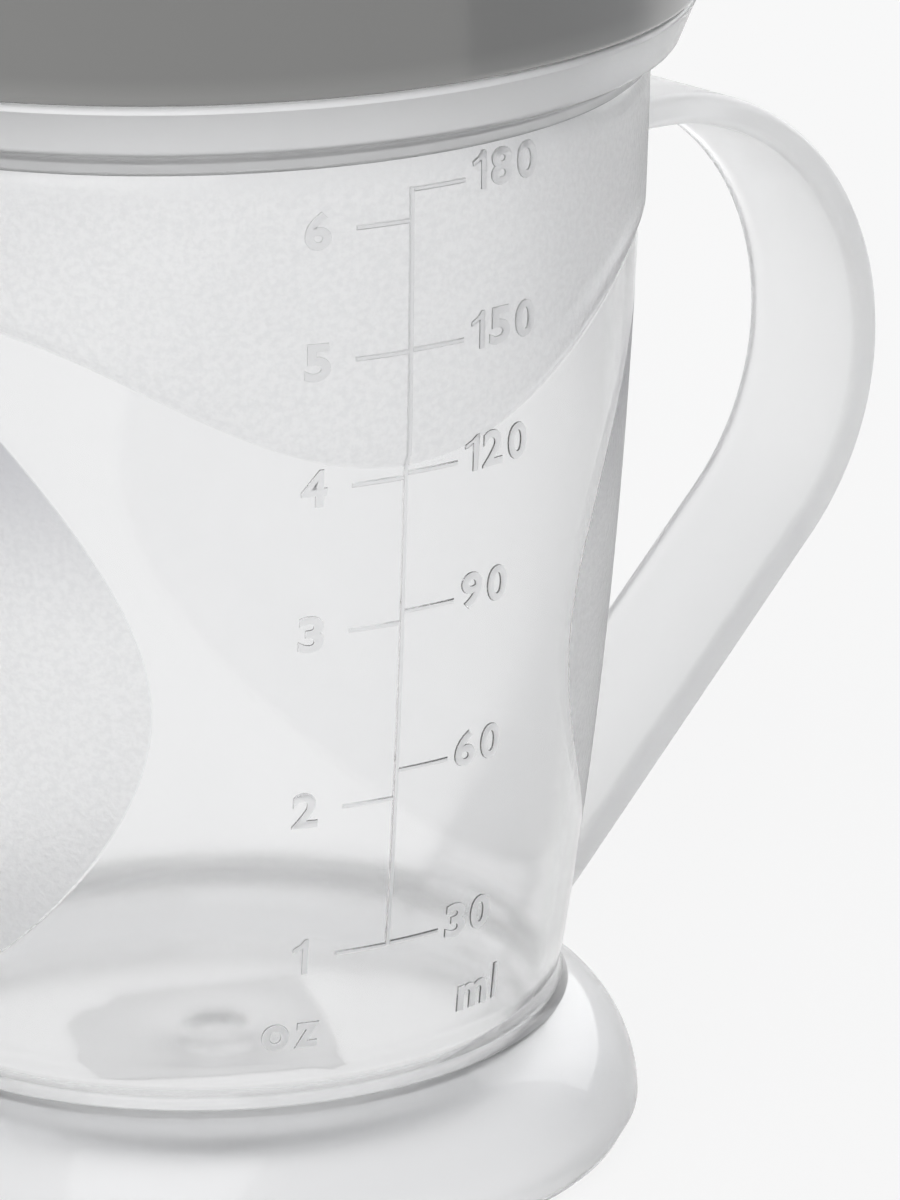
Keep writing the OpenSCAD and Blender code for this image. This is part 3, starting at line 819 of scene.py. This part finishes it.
def grey_plastic(name, rough, grain):
    """Grey gloss plastic with a painted highlight that makes its lower edge paler."""
    finish = Finish(name)
    at, (x, y, z) = finish.place()
    cloud = finish.noise(at, 45.0, 3.0)
    fine = finish.noise(at, 900.0, 3.0, 0.6)
    # painted highlight: the colour is paler along the lid's lower edge
    low = 1 - finish.smooth(z, LID_LOW_Z, LID_LOW_Z + HIGHLIGHT_TALL)
    edge = low * finish.smooth(x * x + y * y, HIGHLIGHT_IN_R**2, HIGHLIGHT_OUT_R**2)
    base = finish.tint(cloud * 0.2 + edge * 0.8, [c * DARKER for c in LID_GREY], [c * PAINTED_HIGHLIGHT for c in LID_GREY])
    rounded = finish.node("ShaderNodeBevel", {"samples": 6}, ROUNDING)
    bump = finish.node("ShaderNodeBump", None, Height=fine + cloud * 2.0, Distance=grain, Strength=0.5,
                       Normal=rounded)
    shader = finish.node("ShaderNodeBsdfPrincipled", None, Base_Color=base, Normal=bump, IOR=1.65,
                         Roughness=rough + (fine - 0.5) * 0.08, Coat_Weight=0.6, Coat_Roughness=0.08)
    return finish.end(shader)


def silicone():
    """Soft white silicone with a fine grain."""
    finish = Finish("white_silicone")
    at, _ = finish.place()
    cloud = finish.noise(at, 120.0, 3.0)
    fine = finish.noise(at, 1800.0, 2.0)
    shader = finish.node("ShaderNodeBsdfPrincipled", None, Base_Color=finish.tint(cloud, 0.74, 0.8),
                         Roughness=0.45 + fine * 0.15, Normal=finish.bump(fine, 0.00003))
    return finish.end(shader)


lid_grey, white_silicone = grey_plastic("lid_grey", 0.16, 0.00002), silicone()
for name, material in (("lid_cap", lid_grey), ("lid_gasket", white_silicone), ("spout_seal", white_silicone)):
    dress(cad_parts[name], material)
dress(flip_spout_piece, grey_plastic("spout_grey", 0.3, 0.00003))
print("lid, spout and seals finished")

# %% [markdown]
# ## Table, backdrop and light
# The photograph is a studio picture on white. The floor is one wide sheet. Its material answers camera,
# glossy and transmitted rays mostly with a plain near-white, so that the plastic shows the same background
# through its walls, and keeps a share of real shading for the soft shadow. The world is bright behind the cup
# and dim in front of it and overhead, as in a studio with a lit backdrop, which is what draws the grey edges
# on clear plastic. The glossy lid shows a dark part of the studio on its right, so mirrored rays find the
# floor darker in that sector. A real dark card would do the same, but it would also shade the cup.

# %% Floor and world
WHITE, SHADE = 0.95, (0.5, 0.51, 0.53)
SECTOR_X, SECTOR_Y, SECTOR_NEAR, SECTOR_FAR = 0.839, 0.545, 180.0, 260.0
SECTOR_EDGE, SECTOR_BACK = 12.0, 60.0
FLOOR_SIZE, FLOOR_DROP, FLOOR_GREY, PLAIN_SHARE = 6.0, 0.00005, 0.9, 0.9
FRONT_X, FRONT_Y = 0.6, -0.8  # the way to the front, where the studio is dim
DIM_FRONT, DIM_UP = (-0.3, 0.7), (0.3, 0.8)


def ray(finish, kind):
    """1 for rays of a kind: Camera, Glossy or Transmission."""
    return finish.node("ShaderNodeLightPath", None, out=f"Is {kind} Ray")


def floor_material():
    """Near-white sheet: mostly plain for seen, mirrored and refracted rays, and shaded for the rest."""
    finish = Finish("studio_floor")
    _, (x, y, _) = finish.place()
    through = ray(finish, "Transmission")
    mirrored = ray(finish, "Glossy") * (1 - through)
    shown = finish.math("MINIMUM", ray(finish, "Camera") + through + mirrored, 1.0)
    away = finish.smooth(finish.math("SQRT", x * x + y * y), SECTOR_NEAR, SECTOR_FAR)
    right = finish.smooth(x * SECTOR_X + y * SECTOR_Y, 0.0, SECTOR_EDGE) * away
    right = right * finish.smooth(-y, -SECTOR_BACK, SECTOR_BACK)
    lit = finish.node("ShaderNodeBsdfDiffuse", None, Color=rgb(FLOOR_GREY))
    colour = finish.tint(mirrored * right, WHITE, SHADE)
    glow = finish.node("ShaderNodeEmission", None, Color=colour, Strength=1.0)
    return finish.end(finish.node("ShaderNodeMixShader", None, shown * PLAIN_SHARE, lit, glow))


floor_mesh = bmesh.new()
bmesh.ops.create_grid(floor_mesh, x_segments=1, y_segments=1, size=FLOOR_SIZE)
bmesh.ops.translate(floor_mesh, vec=(0, 0, -FLOOR_DROP), verts=floor_mesh.verts)
floor = shape("floor", floor_mesh)
floor.data.materials.append(floor_material())

world = bpy.data.worlds.new("studio")
bpy.context.scene.world = world
sky = Finish("studio", world)
way = sky.node("ShaderNodeTexCoord", None, out="Generated")
across, along, up = [sky.node("ShaderNodeSeparateXYZ", None, way, out=i) for i in range(3)]
in_front = sky.smooth(across * FRONT_X + along * FRONT_Y, *DIM_FRONT)
dim = sky.math("MAXIMUM", in_front, sky.smooth(up, *DIM_UP))
seen = sky.tint(ray(sky, "Camera"), sky.tint(dim, WHITE, SHADE), WHITE)
sky.end(sky.node("ShaderNodeBackground", None, seen, 1.0), "ShaderNodeOutputWorld")
print("floor and world ready")

# %% Lamps
def soft_box(name, at, aim, size, power):
    """Square area lamp at a point in metres, turned to its aim, with its power in watts."""
    lamp = bpy.data.lights.new(name, "AREA")
    lamp.shape, lamp.size, lamp.energy = "SQUARE", size, power
    obj = bpy.data.objects.new(name, lamp)
    obj.location = at
    obj.rotation_mode = "QUATERNION"
    obj.rotation_quaternion = (Vector(aim) - Vector(at)).to_track_quat("-Z", "Y")
    bpy.context.scene.collection.objects.link(obj)


CUP_MIDDLE = (0, 0, 0.06)
soft_box("key_light", (-0.75, -0.75, 0.85), CUP_MIDDLE, 1.1, 6)
soft_box("fill_light", (0.85, 0.35, 0.5), CUP_MIDDLE, 0.8, 3.5)
print("lamps set")

# %% [markdown]
# ## Camera
# The photograph is a close view with a long lens, a little above the cup and from its left front. The place,
# the heading, the tilt and the slight roll were fitted to the rings of the cup, so the camera is built from
# them.

# %% Camera at the photograph's place
HEADING, PITCH, ROLL = math.radians(28.69), 0.3120, -0.0147
CAMERA_AT, LENS, SENSOR = Vector((-232.4, -462.1, 206.9)), 222, 36
ahead = Vector((math.sin(HEADING) * math.cos(PITCH), math.cos(HEADING) * math.cos(PITCH), -math.sin(PITCH)))
level = Vector((math.cos(HEADING), -math.sin(HEADING), 0))
upward = level.cross(ahead)
right = math.cos(ROLL) * level + math.sin(ROLL) * upward
top = -math.sin(ROLL) * level + math.cos(ROLL) * upward
camera_data = bpy.data.cameras.new("camera")
camera_data.lens, camera_data.sensor_width = LENS, SENSOR
camera_data.clip_start, camera_data.clip_end = 0.01, 50
camera = bpy.data.objects.new("camera", camera_data)
turn = Matrix((right, top, -ahead)).transposed()
camera.matrix_world = Matrix.Translation(CAMERA_AT * MM) @ turn.to_4x4()
bpy.context.scene.collection.objects.link(camera)
bpy.context.scene.camera = camera
bpy.context.scene.view_settings.view_transform = "Standard"
print("camera at", [round(v, 4) for v in camera.location])
